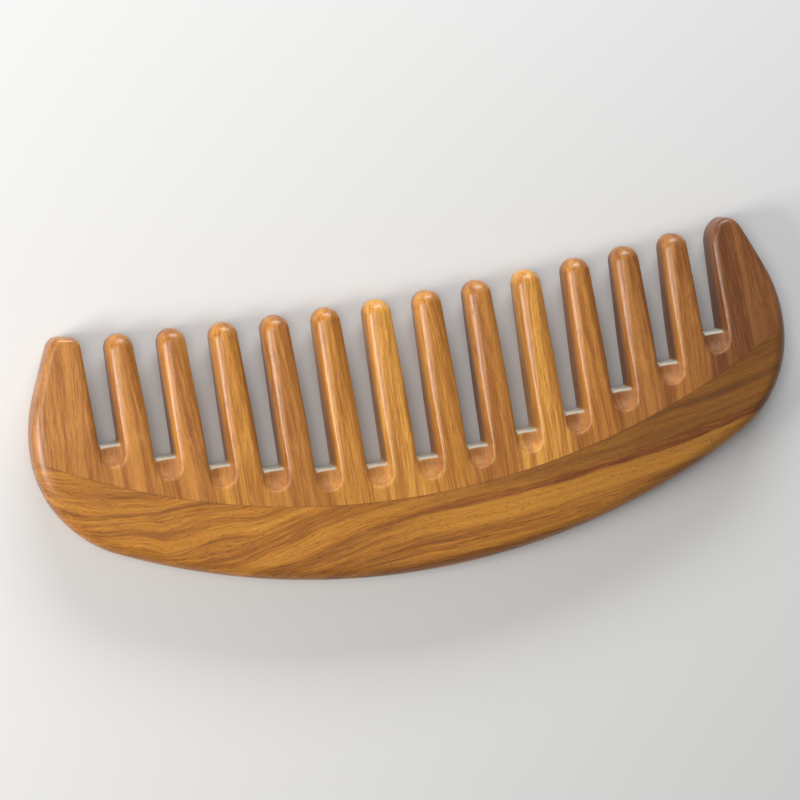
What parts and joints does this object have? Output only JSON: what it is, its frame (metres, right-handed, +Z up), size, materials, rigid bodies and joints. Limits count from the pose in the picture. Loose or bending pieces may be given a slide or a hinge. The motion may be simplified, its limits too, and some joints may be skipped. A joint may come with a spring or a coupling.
{
  "type": "wide tooth comb",
  "caption": "Wooden wide tooth comb with a curved back, slim rounded teeth glued in side by side and a broad guard tooth at each end.",
  "frame": {"origin": "centre of the underside of the comb's bounding box, with the comb lying flat on one face", "axes": "+X along the comb's length, +Y towards the tips of the teeth, +Z up through its thickness"},
  "size_m": [0.179, 0.068, 0.011],
  "materials": {
    "back_wood": "satin varnish, grain along the comb",
    "tooth_wood": "satin varnish, grain along the teeth",
    "end_wood": "satin varnish, grain along the teeth"
  },
  "bodies": {
    "root": {"back": "back_wood", "end_tooth_left": "end_wood", "tooth_1": "tooth_wood", "tooth_2": "tooth_wood", "tooth_3": "tooth_wood", "tooth_4": "tooth_wood", "tooth_5": "tooth_wood", "tooth_6": "tooth_wood", "tooth_7": "tooth_wood", "tooth_8": "tooth_wood", "tooth_9": "tooth_wood", "tooth_10": "tooth_wood", "tooth_11": "tooth_wood", "tooth_12": "tooth_wood", "end_tooth_right": "end_wood"}
  },
  "joints": []
}
